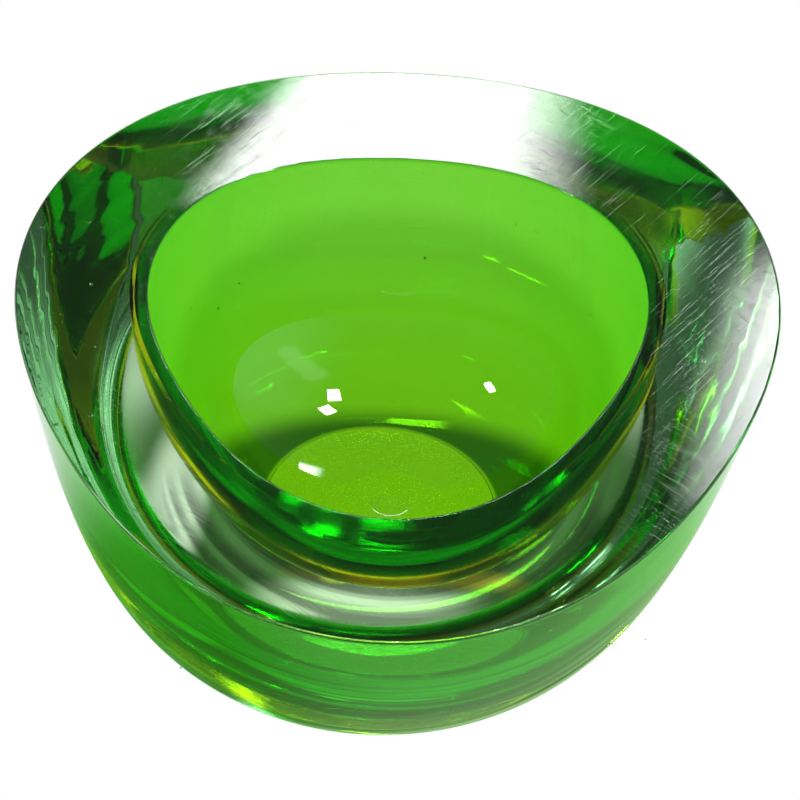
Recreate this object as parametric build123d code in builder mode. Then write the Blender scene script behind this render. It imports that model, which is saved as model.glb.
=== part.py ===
"""Cased glass bowl: a green cup inside an amber layer inside a thick clear casing.

The bowl stands on its ground foot at z = 0, with +Z up and the middle of its rim on the Z axis.
Seen from above it is a rounded triangle with one corner towards -Y.
The three gathers of glass meet face to face and end together at the flat cut rim.
"""
import os

from math import asin, cos, pi, radians, sin

from build123d import *

# ---- driving dimensions (mm) ------------------------------------------------
rim_radius = 70.0        # mean radius of the outer edge of the rim
bowl_height = 62.0       # foot to rim
well_radius = 44.7       # mean radius of the mouth of the well
well_depth = 49.0        # rim to the bottom of the well

foot_radius = 24.2       # the ground face that the bowl rests on
foot_lift = 0.5          # how far that face stands proud of the underside
foot_bevel = 0.7         # how far the foot's polished edge slopes out over that lift
underside_radius = 26.5  # where the underside leaves the flat round the foot
lean = 2.5               # how far the foot lies off the rim's middle, towards -X

green_wall = 2.5         # thickness of the green gather at the rim
green_floor = 2.2        # and under the well
amber_wall = 0.9         # thickness of the amber gather at the rim
amber_floor = 5.6        # and under the green

rim_corner = 0.046       # how far the three corners stand out, as a share of the radius
rim_oval = 0.014         # stretch from front to back, as a share of the radius
well_corner = 0.059      # the same corners at the mouth of the well
corner_fade = 3.1        # how soon the corners fade out towards the foot

# The wall's outline is a superellipse: a high foot fullness keeps the underside flat
# before it turns up, and a low rim fullness makes the wall flare towards the rim.
foot_fullness = 4.1
rim_fullness = 0.965
# The cups are superellipses too: steep at the mouth, round where the wall meets the floor.
mouth_fullness = 3.4
floor_fullness = 2.5

arris = 0.4              # width of the polished bevel round the rim's outer edge

outline_points = 24      # points of each closed outline
wall_sections = 11       # outlines up the outer wall
crowding = 1.5           # how much closer they lie where the underside turns up
well_sections = 9        # outlines down each cup
smallest_ring = 0.10     # the cups end in a flat disc of this share of their radius

os.makedirs("parts", exist_ok=True)


def outline(radius, corner, oval=0.0, shift=0.0):
    """Points of one rounded-triangle outline, centred at x = shift."""
    points = []
    for step in range(outline_points):
        turn = 2 * pi * step / outline_points
        reach = radius * (1 + corner * sin(3 * turn) - oval * cos(2 * turn))
        points.append((shift + reach * cos(turn), reach * sin(turn)))
    return points


def wall_outlines():
    """Height and points of each outline of the outer wall, from the underside to the rim."""
    outlines = []
    for step in range(wall_sections + 1):
        turn = radians(90) * (step / wall_sections) ** crowding
        spread = sin(turn) ** (2 / foot_fullness)
        rise = 1 - max(0.0, cos(turn)) ** (2 / rim_fullness)
        radius = underside_radius + (rim_radius - underside_radius) * spread
        corner = rim_corner * spread**corner_fade
        height = foot_lift + (bowl_height - foot_lift) * rise
        outlines.append((height, outline(radius, corner, rim_oval * rise, -lean * (1 - rise))))
    return outlines


def cup_outlines(mouth, depth):
    """Height and points of each outline of a cup, from its floor disc up to the rim."""
    lowest = (1 - smallest_ring**floor_fullness) ** (1 / mouth_fullness)
    outlines = []
    for step in range(well_sections, -1, -1):
        drop = sin(step / well_sections * asin(lowest))
        share = (1 - drop**mouth_fullness) ** (1 / floor_fullness)
        outlines.append((bowl_height - depth * drop, outline(mouth * share, well_corner * share)))
    return outlines


def stacked(outlines):
    """A solid lofted through closed outlines stacked one above another."""
    with BuildPart() as body:
        for height, points in outlines:
            with BuildSketch(Plane.XY.offset(height)):
                with BuildLine():
                    Spline(*points, periodic=True)
                make_face()
        loft()
    return body.part


green_mouth = well_radius + green_wall
green_depth = well_depth + green_floor
amber_mouth = green_mouth + amber_wall
amber_depth = green_depth + amber_floor

well_shape = stacked(cup_outlines(well_radius, well_depth))
green_shape = stacked(cup_outlines(green_mouth, green_depth))
amber_shape = stacked(cup_outlines(amber_mouth, amber_depth))
wall_shape = stacked(wall_outlines())

# ---- green cup: the coloured lining of the well ------------------------------
with BuildPart() as green_cup:
    add(green_shape)
    add(well_shape, mode=Mode.SUBTRACT)

green_cup.part.label = "green_cup"
export_step(green_cup.part, "parts/green_cup.step")

# ---- amber layer: thin up the wall, heavier under the floor -------------------
with BuildPart() as amber_layer:
    add(amber_shape)
    add(green_shape, mode=Mode.SUBTRACT)

amber_layer.part.label = "amber_layer"
export_step(amber_layer.part, "parts/amber_layer.step")

# ---- clear casing: the thick outer wall, the flat rim and the ground foot -------
with BuildPart() as clear_casing:
    add(wall_shape)
    add(amber_shape, mode=Mode.SUBTRACT)
    rim_face = clear_casing.faces().sort_by(Axis.Z)[-1]
    chamfer(rim_face.outer_wire().edges(), length=arris)
    with BuildSketch(Plane.XY):
        with Locations((-lean, 0)):
            Circle(foot_radius)
    with BuildSketch(Plane.XY.offset(foot_lift)):
        with Locations((-lean, 0)):
            Circle(foot_radius + foot_bevel)
    loft()

clear_casing.part.label = "clear_casing"
export_step(clear_casing.part, "parts/clear_casing.step")
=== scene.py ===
import math
import random

import bmesh
import bpy
from mathutils import Matrix, Vector


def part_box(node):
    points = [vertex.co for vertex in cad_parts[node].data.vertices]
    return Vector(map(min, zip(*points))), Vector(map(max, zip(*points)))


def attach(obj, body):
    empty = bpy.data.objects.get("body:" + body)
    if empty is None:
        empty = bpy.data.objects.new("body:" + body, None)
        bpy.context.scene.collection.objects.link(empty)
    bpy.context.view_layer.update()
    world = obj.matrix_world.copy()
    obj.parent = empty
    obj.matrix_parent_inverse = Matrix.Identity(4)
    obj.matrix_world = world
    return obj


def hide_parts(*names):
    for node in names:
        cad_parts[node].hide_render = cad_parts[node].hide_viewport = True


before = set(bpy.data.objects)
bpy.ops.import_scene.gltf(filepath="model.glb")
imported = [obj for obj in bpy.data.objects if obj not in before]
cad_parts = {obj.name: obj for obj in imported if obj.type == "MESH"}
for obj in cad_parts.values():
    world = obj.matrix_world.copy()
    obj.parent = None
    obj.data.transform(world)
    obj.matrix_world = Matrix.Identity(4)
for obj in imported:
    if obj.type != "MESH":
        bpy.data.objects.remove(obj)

scene = bpy.context.scene
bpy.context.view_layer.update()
greenLow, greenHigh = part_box("green_cup")
amberLow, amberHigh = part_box("amber_layer")
casingLow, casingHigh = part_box("clear_casing")
rimHeight = casingHigh[2]
print("frame loaded, rim at", round(rimHeight * 1000, 1), "mm")

# the bowl as a whole: a rounded triangle, a little longer front to back
bowlForm = {
    "corner": 0.046,        # how far the three corners stand out at the rim
    "oval": 0.014,          # stretch from front to back
    "cornerFade": 3.1,      # how soon the corners die away towards the foot
    "wellCorner": 0.059,    # the same corners at the mouth of the well
    "lean": 0.0025,         # the foot sits this far off the middle, towards -X
    "sides": 288,           # points round each ring of the skin
}
rimRadius = (casingHigh[1] - casingLow[1]) / (2 + 2 * bowlForm["oval"])
greenMouth = (greenHigh[1] - greenLow[1]) / 2
greenDepth = rimHeight - greenLow[2]
amberMouth = (amberHigh[1] - amberLow[1]) / 2
amberDepth = rimHeight - amberLow[2]


def ringPoints(radius, height, corner=0.0, oval=0.0, shift=0.0):
    # one closed ring round the bowl
    points = []
    for step in range(bowlForm["sides"]):
        turn = math.tau * step / bowlForm["sides"]
        reach = radius * (1 + corner * math.sin(3 * turn) - oval * math.cos(2 * turn))
        points.append((shift + reach * math.cos(turn), reach * math.sin(turn), height))
    return points


def skinFromRings(name, rings, firstPoint, lastPoint):
    # closed skin: a fan at each end and quads between the rings
    mesh = bpy.data.meshes.new(name)
    build = bmesh.new()
    loops = [[build.verts.new(point) for point in ring] for ring in rings]
    first = build.verts.new(firstPoint)
    last = build.verts.new(lastPoint)
    sides = len(loops[0])
    for lower, upper in zip(loops, loops[1:]):
        for k in range(sides):
            n = (k + 1) % sides
            build.faces.new((lower[k], lower[n], upper[n], upper[k]))
    for k in range(sides):
        n = (k + 1) % sides
        build.faces.new((first, loops[0][n], loops[0][k]))
        build.faces.new((last, loops[-1][k], loops[-1][n]))
    bmesh.ops.recalc_face_normals(build, faces=build.faces)
    for face in build.faces:
        face.smooth = True
    build.to_mesh(mesh)
    build.free()
    piece = bpy.data.objects.new(name, mesh)
    scene.collection.objects.link(piece)
    return piece


cupForm = {
    "mouthFullness": 3.4,   # steep at the mouth
    "floorFullness": 2.5,   # round where the wall meets the floor
    "rings": 72,
}


def cupRings(mouth, depth, grow=0.0, top=None):
    # rings from the rim down to the floor, grown outwards by a hair where asked
    rings = []
    for step in range(cupForm["rings"]):
        drop = math.sin(math.pi / 2 * step / cupForm["rings"])
        share = (1 - drop ** cupForm["mouthFullness"]) ** (1 / cupForm["floorFullness"])
        height = rimHeight - depth * drop
        if top is not None:
            height = min(height, top)
        radius = mouth * share + grow
        rings.append(ringPoints(radius, height - grow * drop, bowlForm["wellCorner"] * share))
    return rings


greenGather = {
    "wall": 0.0025,         # thickness at the rim
    "floor": 0.0022,        # and under the well
    "hair": 0.00004,        # gap that keeps a coloured skin off the next surface
    "topGap": 0.00008,
    "ior": 1.01,
    "colour": (0.484, 0.948, 0.15, 1),
    "density": 1000,
    "streakScale": (30, 30, 8),
    "streakShades": ((0.90, 0.97, 0.90, 1), (1, 1, 1, 1)),
}
amberGather = {
    "hair": 0.00003,
    "topGap": 0.00008,
    "ior": 1.01,
    "colour": (0.991, 0.987, 0.31, 1),
    "density": 900,
    "streakScale": (24, 24, 60),
    "streakShades": ((0.98, 0.94, 0.86, 1), (1, 1, 1, 1)),
}
wellMouth = greenMouth - greenGather["wall"]
wellDepth = greenDepth - greenGather["floor"]


def colouredShell(name, inner, outer, settings):
    # inner and outer are (mouth, depth) pairs; the shell is closed at the rim
    hair = settings["hair"]
    top = rimHeight - settings["topGap"]
    outside = cupRings(outer[0], outer[1], -hair, top)
    inside = cupRings(inner[0], inner[1], hair, top)
    rings = outside[::-1] + inside
    lowPoint = (0, 0, rimHeight - outer[1] + hair)
    highPoint = (0, 0, rimHeight - inner[1] - hair)
    return skinFromRings(name, rings, lowPoint, highPoint)


greenCup = colouredShell("greenCup", (wellMouth, wellDepth), (greenMouth, greenDepth), greenGather)
amberLayer = colouredShell("amberLayer", (greenMouth, greenDepth), (amberMouth, amberDepth), amberGather)
print("coloured gathers made")

clearCasingForm = {
    "footRadius": 0.0242,
    "footLift": 0.0005,
    "footBevel": 0.0007,
    "undersideRadius": 0.0265,
    "footFullness": 4.1,
    "rimFullness": 0.965,
    "outerArris": 0.0004,
    "wellArris": 0.00042,
    "wallRings": 110,
    "crowding": 1.5,        # how much closer the rings lie where the underside turns up
    "footShares": (0.15, 0.45, 0.75, 0.93, 0.985, 1),
    "footEdgeSteps": (0.04, 0.3, 0.6, 0.96, 1),
    "rimShares": (0.004, 0.1, 0.25, 0.4, 0.55, 0.7, 0.85, 0.996),
    "arrisSteps": ((1.0, 0.0), (0.93, 0.02), (0.3, 0.3), (0.02, 0.93), (0.0, 1.0)),
    "wander": 0.00004,      # hand-worked unevenness of the outer wall
    "tooling": 0.000006,    # faint rings left by the wooden block
    "toolingRings": (46, 83),
}


def wallUnevenness(turn, rise):
    # slow swells round and up the wall, none at the rim or the foot
    fade = math.sin(math.pi * rise) ** 0.6 if 0 < rise < 1 else 0
    coarse, fine = clearCasingForm["toolingRings"]
    swell = math.sin(2 * turn + 1.3 + 2.1 * rise) + 0.6 * math.sin(5 * turn - 4 * rise + 0.4)
    rings = math.sin(coarse * rise + 0.8 * math.sin(turn)) + 0.5 * math.sin(fine * rise + 1.7)
    return fade * (clearCasingForm["wander"] * swell + clearCasingForm["tooling"] * rings)


def wallRings():
    form = clearCasingForm
    lean = bowlForm["lean"]
    rings = []
    for share in form["footShares"]:
        rings.append(ringPoints(form["footRadius"] * share, 0, shift=-lean))
    # the foot's edge is polished to a small round
    for step in form["footEdgeSteps"]:
        bend = math.pi / 2 * step
        radius = form["footRadius"] + form["footBevel"] * math.sin(bend)
        rings.append(ringPoints(radius, form["footLift"] * (1 - math.cos(bend)), shift=-lean))
    height = form["footLift"]
    for step in range(form["wallRings"] + 1):
        turn = math.pi / 2 * (step / form["wallRings"]) ** form["crowding"]
        spread = math.sin(turn) ** (2 / form["footFullness"])
        rise = 1 - max(0.0, math.cos(turn)) ** (2 / form["rimFullness"])
        radius = form["undersideRadius"] + (rimRadius - form["undersideRadius"]) * spread
        corner = bowlForm["corner"] * spread ** bowlForm["cornerFade"]
        z = height + (rimHeight - height) * rise
        if z > rimHeight - form["outerArris"] * 1.5:
            break
        ring = ringPoints(radius, z, corner, bowlForm["oval"] * rise, -lean * (1 - rise))
        ring = [pushOut(point, k, rise) for k, point in enumerate(ring)]
        rings.append(ring)
    return rings


def pushOut(point, k, rise):
    turn = math.tau * k / bowlForm["sides"]
    push = wallUnevenness(turn, rise)
    return (point[0] + push * math.cos(turn), point[1] + push * math.sin(turn), point[2])


def rimRings():
    # outer arris, the flat cut face and the arris round the well
    form = clearCasingForm
    outer, inner = form["outerArris"], form["wellArris"]
    rings = []
    for down, back in form["arrisSteps"]:
        radius = rimRadius - outer * back
        rings.append(ringPoints(radius, rimHeight - outer * down, bowlForm["corner"], bowlForm["oval"]))
    start = rimRadius - outer
    end = wellMouth + inner
    for share in form["rimShares"]:
        radius = start + (end - start) * share
        corner = bowlForm["corner"] + (bowlForm["wellCorner"] - bowlForm["corner"]) * share
        rings.append(ringPoints(radius, rimHeight, corner, bowlForm["oval"] * (1 - share)))
    for out, down in form["arrisSteps"][:-1]:
        rings.append(ringPoints(wellMouth + inner * out, rimHeight - inner * down, bowlForm["wellCorner"]))
    return rings


def wellRings():
    rings = cupRings(wellMouth, wellDepth)
    lowest = rimHeight - clearCasingForm["wellArris"]
    return [ring for ring in rings if ring[0][2] < lowest]


casingRings = wallRings() + rimRings() + wellRings()
footMiddle = (-bowlForm["lean"], 0, 0)
wellBottom = (0, 0, rimHeight - wellDepth)
clearCasing = skinFromRings("clearCasing", casingRings, footMiddle, wellBottom)

seedBubbles = {
    "count": 26,
    "small": 0.00012,       # radius
    "large": 0.00038,
    "tallest": 1.7,         # some are drawn out upwards by up to this much
    "heights": (0.16, 0.94),
    "offAmber": (1.12, 0.001),
    "offWall": 0.84,
    "seed": 12,
}


def addSeedBubbles(piece, settings):
    # tiny air voids in the thick clear wall, turned inside out so that they hold air
    chance = random.Random(settings["seed"])
    build = bmesh.new()
    build.from_mesh(piece.data)
    for _ in range(settings["count"]):
        turn = chance.uniform(0, math.tau)
        height = chance.uniform(*settings["heights"]) * rimHeight
        inside = amberMouth * settings["offAmber"][0] + settings["offAmber"][1]
        outside = rimRadius * settings["offWall"]
        reach = inside + (outside - inside) * chance.random()
        size = chance.uniform(settings["small"], settings["large"])
        place = Matrix.Translation((reach * math.cos(turn), reach * math.sin(turn), height))
        stretch = Matrix.Diagonal((1, 1, chance.uniform(1.0, settings["tallest"]), 1))
        ball = bmesh.ops.create_icosphere(build, subdivisions=2, radius=size, matrix=place @ stretch)
        faces = {face for vert in ball["verts"] for face in vert.link_faces}
        bmesh.ops.reverse_faces(build, faces=list(faces))
        for face in faces:
            face.smooth = True
    build.to_mesh(piece.data)
    build.free()


addSeedBubbles(clearCasing, seedBubbles)
print("clear casing made with", len(casingRings), "rings")


def newMaterial(name):
    material = bpy.data.materials.new(name)
    material.use_nodes = True
    material.node_tree.nodes.clear()
    return material, material.node_tree


def addNode(tree, kind, **settings):
    # settings are node properties, or socket names with underscores for spaces
    node = tree.nodes.new(kind)
    for key, value in settings.items():
        if hasattr(node, key):
            setattr(node, key, value)
        else:
            node.inputs[key.replace("_", " ")].default_value = value
    return node


def link(tree, source, target):
    tree.links.new(source, target)


def mathNode(tree, operation, first, second):
    node = tree.nodes.new("ShaderNodeMath")
    node.operation = operation
    for socket, value in zip(node.inputs, (first, second)):
        if isinstance(value, (int, float)):
            socket.default_value = value
        else:
            link(tree, value, socket)
    return node.outputs[0]


def stretchedNoise(tree, scale, turn=0.0, detail=3, roughness=0.5, distortion=0.0):
    # noise in the object's own space, stretched by the three scales after a turn about Z
    place = addNode(tree, "ShaderNodeTexCoord")
    spin = addNode(tree, "ShaderNodeMapping", vector_type="POINT")
    spin.inputs["Rotation"].default_value = (0, 0, math.radians(turn))
    size = addNode(tree, "ShaderNodeMapping", vector_type="POINT")
    size.inputs["Scale"].default_value = scale
    noise = addNode(tree, "ShaderNodeTexNoise", Scale=1.0, Detail=detail, Roughness=roughness,
                    Distortion=distortion)
    link(tree, place.outputs["Object"], spin.inputs["Vector"])
    link(tree, spin.outputs["Vector"], size.inputs["Vector"])
    link(tree, size.outputs["Vector"], noise.inputs["Vector"])
    return noise.outputs["Fac"]


def spanned(tree, value, fromLow, fromHigh, toLow, toHigh):
    node = addNode(tree, "ShaderNodeMapRange", clamp=True)
    for socket, number in zip(node.inputs[1:5], (fromLow, fromHigh, toLow, toHigh)):
        socket.default_value = number
    link(tree, value, node.inputs[0])
    return node.outputs[0]


def smoothed(tree, value, fromLow, fromHigh, toLow, toHigh):
    out = spanned(tree, value, fromLow, fromHigh, toLow, toHigh)
    out.node.interpolation_type = "SMOOTHSTEP"
    return out


def glassShader(tree, ior, colour, density):
    # clear glass whose tint lies in its depth
    glass = addNode(tree, "ShaderNodeBsdfPrincipled", IOR=ior)
    glass.inputs["Transmission Weight"].default_value = 1
    depth = addNode(tree, "ShaderNodeVolumeAbsorption", Color=colour, Density=density)
    output = addNode(tree, "ShaderNodeOutputMaterial")
    link(tree, glass.outputs[0], output.inputs["Surface"])
    link(tree, depth.outputs[0], output.inputs["Volume"])
    return glass


clearGlass = {
    "ior": 1.5,
    "colour": (0.40, 0.88, 0.45, 1),
    "density": 10.0,
    "wallRoughness": (0.0, 0.02),
    "rimRoughness": (0.015, 0.13),
    "footRoughness": (0.16, 0.34),
    "waviness": 0.00002,
    "scratchDepth": 0.000004,
    "scratchScales": ((90, 5200, 1), (70, 4300, 1)),
    "scratchTurns": (38, -52),      # degrees
    "footGrain": (2600, 2600, 2600),
    "faceBand": 0.00002,            # how near the rim's or the foot's height counts as that face
}


def makeClearGlass():
    material, tree = newMaterial("clearCasedGlass")
    glass = glassShader(tree, clearGlass["ior"], clearGlass["colour"], clearGlass["density"])
    place = addNode(tree, "ShaderNodeTexCoord")
    split = addNode(tree, "ShaderNodeSeparateXYZ")
    link(tree, place.outputs["Object"], split.inputs[0])
    height = split.outputs["Z"]
    rimMask = mathNode(tree, "GREATER_THAN", height, rimHeight - clearGlass["faceBand"])
    footMask = mathNode(tree, "LESS_THAN", height, clearGlass["faceBand"])
    plainMask = mathNode(tree, "SUBTRACT", mathNode(tree, "SUBTRACT", 1.0, rimMask), footMask)

    # long polishing scratches that cross on the cut rim
    scaleOne, scaleTwo = clearGlass["scratchScales"]
    turnOne, turnTwo = clearGlass["scratchTurns"]
    scratchesOne = spanned(tree, stretchedNoise(tree, scaleOne, turnOne, 2), 0.60, 0.72, 0, 1)
    scratchesTwo = spanned(tree, stretchedNoise(tree, scaleTwo, turnTwo, 2), 0.61, 0.73, 0, 1)
    scratches = mathNode(tree, "MAXIMUM", scratchesOne, scratchesTwo)
    haze = spanned(tree, stretchedNoise(tree, (26, 260, 1), 30, 4), 0.45, 0.75, 0, 1)
    rimWear = mathNode(tree, "MAXIMUM", scratches, mathNode(tree, "MULTIPLY", haze, 0.55))
    rimRough = spanned(tree, rimWear, 0, 1, *clearGlass["rimRoughness"])

    # ground foot: a fine even grain with rubbed patches
    grain = stretchedNoise(tree, clearGlass["footGrain"], 0, 2)
    rubbed = stretchedNoise(tree, (120, 120, 120), 0, 3)
    footWear = mathNode(tree, "MULTIPLY", grain, rubbed)
    footRough = spanned(tree, footWear, 0.1, 0.4, *clearGlass["footRoughness"])

    # fire-polished skin: almost perfect, with a few faint smears
    smears = spanned(tree, stretchedNoise(tree, (45, 45, 90), 0, 4, 0.6, 0.6), 0.5, 0.8, 0, 1)
    wallRough = spanned(tree, smears, 0, 1, *clearGlass["wallRoughness"])

    rimPart = mathNode(tree, "MULTIPLY", rimRough, rimMask)
    footPart = mathNode(tree, "MULTIPLY", footRough, footMask)
    wallPart = mathNode(tree, "MULTIPLY", wallRough, plainMask)
    total = mathNode(tree, "ADD", mathNode(tree, "ADD", rimPart, footPart), wallPart)
    link(tree, total, glass.inputs["Roughness"])

    # shallow swells round the wall and finer rings up it
    swells = stretchedNoise(tree, (30, 30, 120), 0, 2)
    wavy = addNode(tree, "ShaderNodeBump", Strength=0.35, Distance=clearGlass["waviness"])
    link(tree, mathNode(tree, "MULTIPLY", swells, plainMask), wavy.inputs["Height"])
    scratched = addNode(tree, "ShaderNodeBump", Strength=0.5, Distance=clearGlass["scratchDepth"])
    scratched.invert = True
    ground = mathNode(tree, "MULTIPLY", grain, footMask)
    marks = mathNode(tree, "ADD", mathNode(tree, "MULTIPLY", scratches, rimMask), ground)
    link(tree, marks, scratched.inputs["Height"])
    link(tree, wavy.outputs[0], scratched.inputs["Normal"])
    link(tree, scratched.outputs[0], glass.inputs["Normal"])
    return material


def makeColouredGlass(name, settings):
    # a tinted gather, barely denser than the clear glass round it, with streaks in the colour
    material, tree = newMaterial(name)
    glass = glassShader(tree, settings["ior"], settings["colour"], settings["density"])
    streaks = stretchedNoise(tree, settings["streakScale"], 0, 4, 0.55, 0.8)
    shade = addNode(tree, "ShaderNodeValToRGB")
    for element, position, colour in zip(shade.color_ramp.elements, (0.3, 0.7), settings["streakShades"]):
        element.position = position
        element.color = colour
    link(tree, streaks, shade.inputs[0])
    link(tree, shade.outputs[0], glass.inputs["Base Color"])
    rough = spanned(tree, stretchedNoise(tree, (60, 60, 60)), 0.3, 0.8, 0.0, 0.03)
    link(tree, rough, glass.inputs["Roughness"])
    folds = addNode(tree, "ShaderNodeBump", Strength=0.4, Distance=0.0001)
    link(tree, stretchedNoise(tree, (40, 40, 150), 0, 3), folds.inputs["Height"])
    link(tree, folds.outputs[0], glass.inputs["Normal"])
    return material


clearMaterial = makeClearGlass()
greenMaterial = makeColouredGlass("greenCasedGlass", greenGather)
amberMaterial = makeColouredGlass("amberCasedGlass", amberGather)
clearCasing.data.materials.append(clearMaterial)
greenCup.data.materials.append(greenMaterial)
amberLayer.data.materials.append(amberMaterial)

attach(clearCasing, "root")
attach(greenCup, "root")
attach(amberLayer, "root")
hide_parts("clear_casing")
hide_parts("green_cup")
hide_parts("amber_layer")
print("glass finishes made")

# a pale glowing table with painted shade and painted caustic light near the bowl, dimmed and tinted to
# stand in for the light that comes through the glass
tableTop = {
    "halfSize": 1.4,
    "drop": 0.0003,
    "glow": 1.0,
    # painted shade on the table under the foot
    "shadeUnderFoot": (0.78, 0.76, 0.70, 1),
    "footEdge": (0.0248, 0.0264),
    "pale": (1, 1, 1, 1),
    # the one oval of painted shade round the bowl that the camera sees directly
    "seenShade": ((-0.001, -0.005), (0.055, 0.0390), (0.50, 1.0), (0.45, 0.50, 0.42, 1)),
    # painted caustic light on the table
    "ringsPerMetre": 420,       # faint rings of light round the front of the foot
    "ringArea": ((-0.001, -0.028), (0.060, 0.030), (0.70, 1.0)),
    "ringNoise": (0.36, 0.64),
    "ringLight": (0.40, 1.35),
}
# painted shade and painted light (caustic glows and gleams) laid on the table as ovals in this order, seen
# only through the glass or in it:
# middle, half width and half depth, where the fade starts and ends, colour
paintedLightAndShade = {
    "wideShade": ((0.008, -0.030), (0.105, 0.080), (0.60, 1.0), (0.40, 0.76, 0.30, 1)),
    "greenShade": ((-0.050, -0.036), (0.070, 0.070), (0.30, 1.0), (0.10, 0.46, 0.04, 1)),
    "softShade": ((0.0, 0.042), (0.074, 0.086), (0.70, 0.95), (0.74, 0.82, 0.66, 1)),
    "closeShade": ((-0.001, -0.005), (0.055, 0.0390), (0.78, 1.0), (0.09, 0.19, 0.06, 1)),
    "innerGlow": ((-0.004, -0.017), (0.030, 0.011), (0.4, 1.0), (0.08, 0.46, 0.05, 1)),
    "frontGleam": ((-0.006, -0.0385), (0.033, 0.0085), (0.3, 1.0), (0.92, 1.0, 0.78, 1)),
    "leftGleam": ((-0.0395, -0.014), (0.0070, 0.024), (0.4, 1.0), (1.0, 1.0, 0.9, 1)),
    "amberGleam": ((0.004, -0.0305), (0.026, 0.0034), (0.4, 1.0), (0.60, 0.50, 0.06, 1)),
    # painted lime caustic glint
    "limeGlint": ((-0.009, -0.0315), (0.0040, 0.0018), (0.4, 1.0), (1.6, 1.7, 0.3, 1)),
}


def ovalMask(tree, place, middle, size, edge):
    # 1 inside the oval and 0 outside it
    move = addNode(tree, "ShaderNodeVectorMath", operation="SUBTRACT")
    move.inputs[1].default_value = (middle[0], middle[1], -tableTop["drop"])
    scale = addNode(tree, "ShaderNodeVectorMath", operation="DIVIDE")
    scale.inputs[1].default_value = (size[0], size[1], 1)
    length = addNode(tree, "ShaderNodeVectorMath", operation="LENGTH")
    link(tree, place.outputs["Object"], move.inputs[0])
    link(tree, move.outputs[0], scale.inputs[0])
    link(tree, scale.outputs[0], length.inputs[0])
    return smoothed(tree, length.outputs["Value"], edge[0], edge[1], 1, 0)


def blended(tree, mask, first, second):
    # first where the mask is 0, second where it is 1
    mix = addNode(tree, "ShaderNodeMix", data_type="RGBA")
    link(tree, mask, mix.inputs["Factor"])
    for socket, colour in ((mix.inputs[6], first), (mix.inputs[7], second)):
        if isinstance(colour, tuple):
            socket.default_value = colour
        else:
            link(tree, colour, socket)
    return mix.outputs[2]


def makeTableTop():
    half = tableTop["halfSize"]
    z = -tableTop["drop"]
    mesh = bpy.data.meshes.new("tableTop")
    corners = [(-half, -half, z), (half, -half, z), (half, half, z), (-half, half, z)]
    mesh.from_pydata(corners, [], [(0, 1, 2, 3)])
    table = bpy.data.objects.new("tableTop", mesh)
    scene.collection.objects.link(table)
    material, tree = newMaterial("paleTable")
    place = addNode(tree, "ShaderNodeTexCoord")
    colour = tableTop["pale"]
    # lay the painted shade and painted light ovals on the table
    for middle, size, edge, shade in paintedLightAndShade.values():
        colour = blended(tree, ovalMask(tree, place, middle, size, edge), colour, shade)
    # painted caustic light: rings of brighter and darker table round the front of the foot
    near = ovalMask(tree, place, *tableTop["ringArea"])
    reach = addNode(tree, "ShaderNodeVectorMath", operation="LENGTH")
    link(tree, place.outputs["Object"], reach.inputs[0])
    rings = addNode(tree, "ShaderNodeTexNoise", noise_dimensions="1D", Scale=1.0, Detail=2.0)
    count = mathNode(tree, "MULTIPLY", reach.outputs["Value"], tableTop["ringsPerMetre"])
    link(tree, count, rings.inputs["W"])
    light = spanned(tree, rings.outputs[0], *tableTop["ringNoise"], *tableTop["ringLight"])
    change = mathNode(tree, "MULTIPLY", mathNode(tree, "SUBTRACT", light, 1), near)
    light = mathNode(tree, "ADD", change, 1)
    ringLitColour = addNode(tree, "ShaderNodeVectorMath", operation="SCALE")
    link(tree, colour, ringLitColour.inputs[0])
    link(tree, light, ringLitColour.inputs["Scale"])
    colour = ringLitColour.outputs[0]
    # painted shade under the foot
    footMask = ovalMask(tree, place, (-bowlForm["lean"], 0), (1, 1), tableTop["footEdge"])
    colour = blended(tree, footMask, colour, tableTop["shadeUnderFoot"])
    middle, size, edge, shade = tableTop["seenShade"]
    seen = blended(tree, ovalMask(tree, place, middle, size, edge), tableTop["pale"], shade)
    # the camera sees the table round the bowl plain but for the painted seen shade; rays through the glass
    # see all the painted shade and light
    path = addNode(tree, "ShaderNodeLightPath")
    colour = blended(tree, path.outputs["Is Camera Ray"], colour, seen)
    glow = addNode(tree, "ShaderNodeEmission", Strength=tableTop["glow"])
    output = addNode(tree, "ShaderNodeOutputMaterial")
    link(tree, colour, glow.inputs["Color"])
    link(tree, glow.outputs[0], output.inputs["Surface"])
    mesh.materials.append(material)


makeTableTop()

# numbers below are parts of a direction: x to the right, y to the back, z up
roomLight = {
    "overhead": 0.13,
    "paleWalls": 1.0,
    "wallTop": (0.09, 0.26),        # the pale walls fade out between these heights
    "rightSide": 0.85,              # daylight from the right
    "rightSpan": (0.15, 0.78),
    "rightBack": (0.12, 0.36),      # it weakens towards the back
    "rightBackShare": 0.35,
    "skylight": 1.1,                # a bright strip high on the right
    "skylightMiddles": (
        (0.60, -0.41, 0.69), (0.54, -0.35, 0.765), (0.47, -0.29, 0.833), (0.40, -0.22, 0.89),
    ),
    "skylightEdge": (0.05, 0.12),
}


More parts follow.
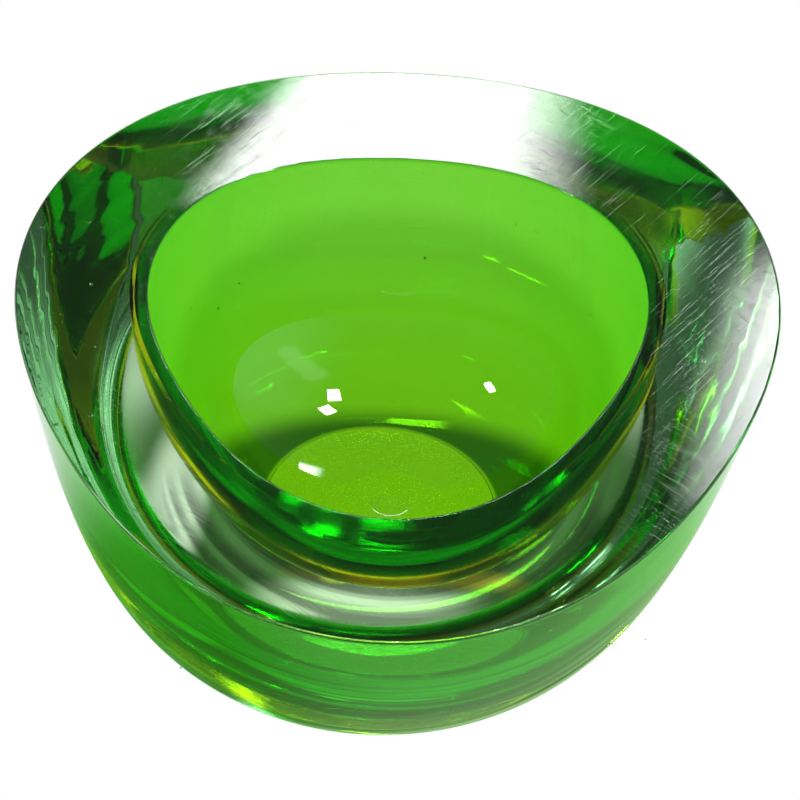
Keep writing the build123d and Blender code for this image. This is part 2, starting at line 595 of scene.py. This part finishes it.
def makeRoomLight():
    room = roomLight
    world = bpy.data.worlds.new("studioRoom")
    world.use_nodes = True
    tree = world.node_tree
    tree.nodes.clear()
    place = addNode(tree, "ShaderNodeTexCoord")
    split = addNode(tree, "ShaderNodeSeparateXYZ")
    back = addNode(tree, "ShaderNodeBackground")
    output = addNode(tree, "ShaderNodeOutputWorld")
    link(tree, place.outputs["Generated"], split.inputs[0])
    right = smoothed(tree, split.outputs["X"], *room["rightSpan"], 0, room["rightSide"])
    fade = smoothed(tree, split.outputs["Y"], *room["rightBack"], 1, room["rightBackShare"])
    total = mathNode(tree, "ADD", mathNode(tree, "MULTIPLY", right, fade), room["overhead"])
    strip = None
    for middle in room["skylightMiddles"]:
        gap = addNode(tree, "ShaderNodeVectorMath", operation="DISTANCE")
        gap.inputs[1].default_value = middle
        link(tree, place.outputs["Generated"], gap.inputs[0])
        lobe = smoothed(tree, gap.outputs["Value"], *room["skylightEdge"], room["skylight"], 0)
        strip = lobe if strip is None else mathNode(tree, "MAXIMUM", strip, lobe)
    total = mathNode(tree, "ADD", total, strip)
    walls = smoothed(tree, split.outputs["Z"], *room["wallTop"], room["paleWalls"], 0)
    link(tree, mathNode(tree, "MAXIMUM", total, walls), back.inputs["Color"])
    link(tree, back.outputs[0], output.inputs["Surface"])
    scene.world = world


makeRoomLight()

# corners in order: lower left, lower right, upper right, upper left as the bowl sees them
softPanels = {
    "backWindow": {
        "corners": (
            (-0.112, 0.606, 0.609), (0.092, 0.600, 0.611), (0.086, 0.760, 0.545), (0.010, 0.770, 0.541),
        ),
        "glow": 21,
        "feather": (0.10, 0.28, 0.05, 0.05),
    },
    "sideWindow": {
        "corners": (
            (0.118, 0.470, 0.665), (0.230, 0.470, 0.665), (0.230, 0.605, 0.607), (0.150, 0.610, 0.606),
        ),
        "glow": 20,
        "feather": (0.45, 0.05, 0.10, 0.25),
    },
}


def makeSoftPanel(name, settings):
    # a glowing sheet that fades towards its edges: left, right, lower, upper
    cells = 28
    lowLeft, lowRight, upRight, upLeft = (Vector(corner) for corner in settings["corners"])
    left, right, low, up = settings["feather"]
    points, faces, strengths = [], [], []
    for j in range(cells + 1):
        v = j / cells
        for i in range(cells + 1):
            u = i / cells
            points.append(lowLeft.lerp(lowRight, u).lerp(upLeft.lerp(upRight, u), v))
            fade = min(1, u / left) * min(1, (1 - u) / right) * min(1, v / low) * min(1, (1 - v) / up)
            strengths.append(fade * fade * (3 - 2 * fade))
    for j in range(cells):
        for i in range(cells):
            a = j * (cells + 1) + i
            faces.append((a, a + 1, a + cells + 2, a + cells + 1))
    mesh = bpy.data.meshes.new(name)
    mesh.from_pydata(points, [], faces)
    layer = mesh.attributes.new("fade", "FLOAT", "POINT")
    layer.data.foreach_set("value", strengths)
    material, tree = newMaterial(name)
    fade = addNode(tree, "ShaderNodeAttribute", attribute_name="fade")
    glow = addNode(tree, "ShaderNodeEmission")
    output = addNode(tree, "ShaderNodeOutputMaterial")
    link(tree, mathNode(tree, "MULTIPLY", fade.outputs["Fac"], settings["glow"]), glow.inputs["Strength"])
    link(tree, glow.outputs[0], output.inputs["Surface"])
    mesh.materials.append(material)
    panel = bpy.data.objects.new(name, mesh)
    scene.collection.objects.link(panel)
    panel.visible_camera = False


for panelName, panelSettings in softPanels.items():
    makeSoftPanel(panelName, panelSettings)

# small lamps overhead, for the bright spots down in the well
smallLamps = {
    "lampRight": {"place": (0.141, 0.030, 0.600), "size": (0.070, 0.034), "power": 1.8},
    "lampRightLow": {"place": (0.142, 0.124, 0.586), "size": (0.044, 0.034), "power": 1.1},
    "lampLeft": {"place": (-0.262, -0.050, 0.545), "size": (0.062, 0.026), "power": 1.0},
}


def makeSmallLamp(name, settings):
    lamp = bpy.data.lights.new(name, "AREA")
    lamp.shape = "RECTANGLE"
    lamp.size, lamp.size_y = settings["size"]
    lamp.energy = settings["power"]
    holder = bpy.data.objects.new(name, lamp)
    holder.location = settings["place"]
    aim = Vector((0, 0, rimHeight / 2)) - holder.location
    holder.rotation_euler = aim.to_track_quat("-Z", "Y").to_euler()
    scene.collection.objects.link(holder)


for lampName, lampSettings in smallLamps.items():
    makeSmallLamp(lampName, lampSettings)
print("table, room and lights made")

viewpoint = {
    "target": (0.00108, -0.02022, rimHeight),
    "distance": 0.490,
    "elevation": 47.09,     # degrees above the table
    "roll": -2.28,
    "lens": 126.05,
}


def makeCamera():
    rise = math.radians(viewpoint["elevation"])
    roll = math.radians(viewpoint["roll"])
    back = Vector((0, -math.cos(rise), math.sin(rise)))
    side = Vector((1, 0, 0))
    up = Vector((0, math.sin(rise), math.cos(rise)))
    tiltedSide = side * math.cos(roll) - up * math.sin(roll)
    tiltedUp = side * math.sin(roll) + up * math.cos(roll)
    middle = Vector(viewpoint["target"]) + back * viewpoint["distance"]
    turn = Matrix((tiltedSide, tiltedUp, back)).transposed().to_4x4()
    data = bpy.data.cameras.new("studioCamera")
    data.sensor_width = 36
    data.lens = viewpoint["lens"]
    data.clip_start = 0.01
    camera = bpy.data.objects.new("studioCamera", data)
    camera.matrix_world = Matrix.Translation(middle) @ turn
    scene.collection.objects.link(camera)
    scene.camera = camera


makeCamera()
scene.view_settings.view_transform = "Standard"
# glass inside glass needs many bounces
scene.cycles.max_bounces = 24
scene.cycles.transmission_bounces = 24
scene.cycles.glossy_bounces = 10
scene.cycles.transparent_max_bounces = 16

print("scene ready")
